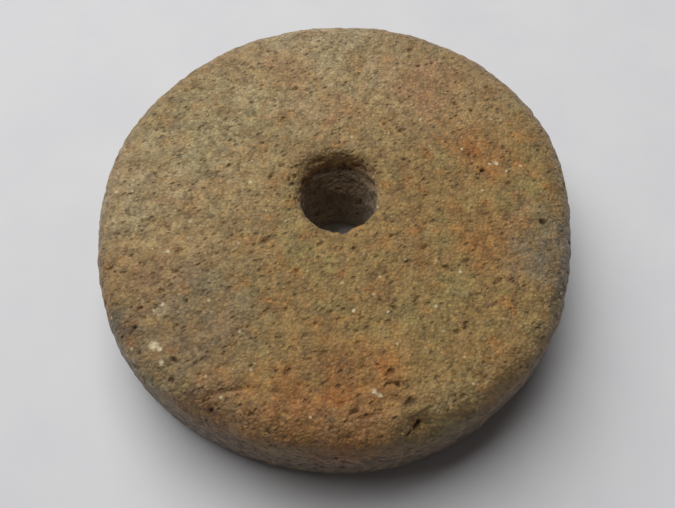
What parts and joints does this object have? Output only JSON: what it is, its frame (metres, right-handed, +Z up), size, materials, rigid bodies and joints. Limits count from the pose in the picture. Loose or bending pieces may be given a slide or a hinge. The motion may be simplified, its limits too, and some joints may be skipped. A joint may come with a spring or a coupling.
{
  "type": "spindle whorl",
  "caption": "Thick round stone disc with worn edges and a hole through its middle, slid onto a spindle rod as its flywheel weight.",
  "frame": {"origin": "middle of the outline's box, in the plane that the underside lies on", "axes": "+Z up, along the hole and through the disc's thickness; -Y points to the front of the picture's view, +X to its right"},
  "size_m": [0.049, 0.0514, 0.0113],
  "materials": {
    "stone": "matte"
  },
  "bodies": {
    "root": {"stone_whorl": "stone"}
  },
  "joints": []
}
